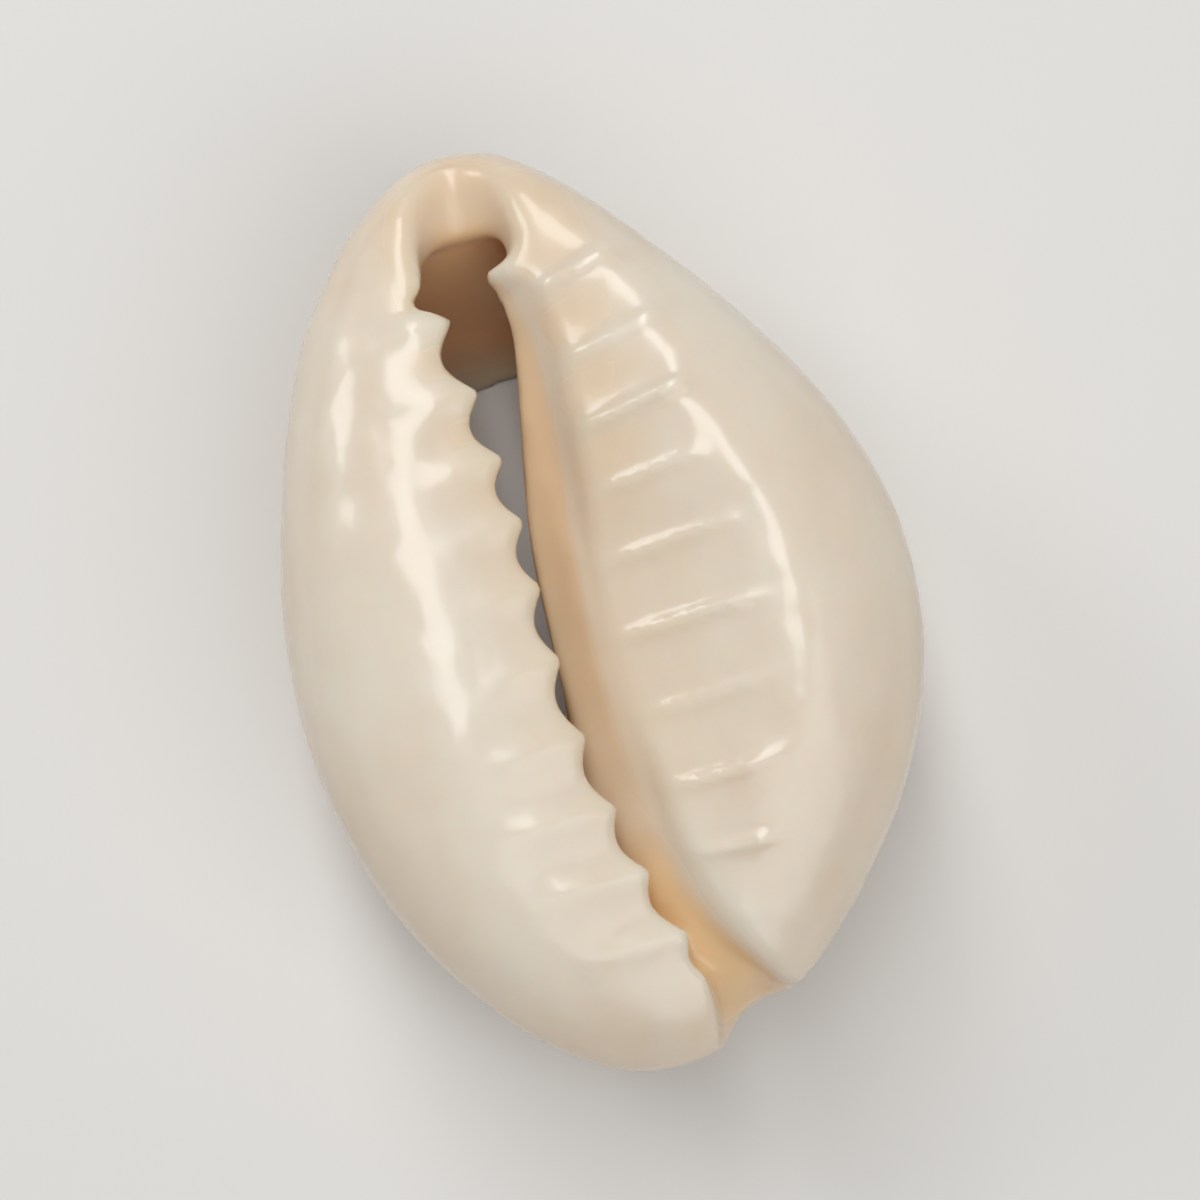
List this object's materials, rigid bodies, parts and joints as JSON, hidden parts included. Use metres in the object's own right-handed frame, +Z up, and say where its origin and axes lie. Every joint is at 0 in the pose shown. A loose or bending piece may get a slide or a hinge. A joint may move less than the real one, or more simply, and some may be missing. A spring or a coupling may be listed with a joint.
{
  "type": "cowrie shell",
  "caption": "Small glossy cowrie shell with its back sawn off: egg-shaped hollow body, toothed slit along the underside, inner whorl showing through the cut.",
  "frame": {"origin": "centre of the bounding box, on the sawn plane that the shell rests on", "axes": "+Y along the shell to the front (canal) end, -X the outer lip, +X the columella side, +Z up through the toothed underside"},
  "size_m": [0.0122, 0.0186, 0.0073],
  "materials": {
    "shell": "gloss"
  },
  "bodies": {
    "root": {"cowrie_shell": "shell"}
  },
  "joints": []
}
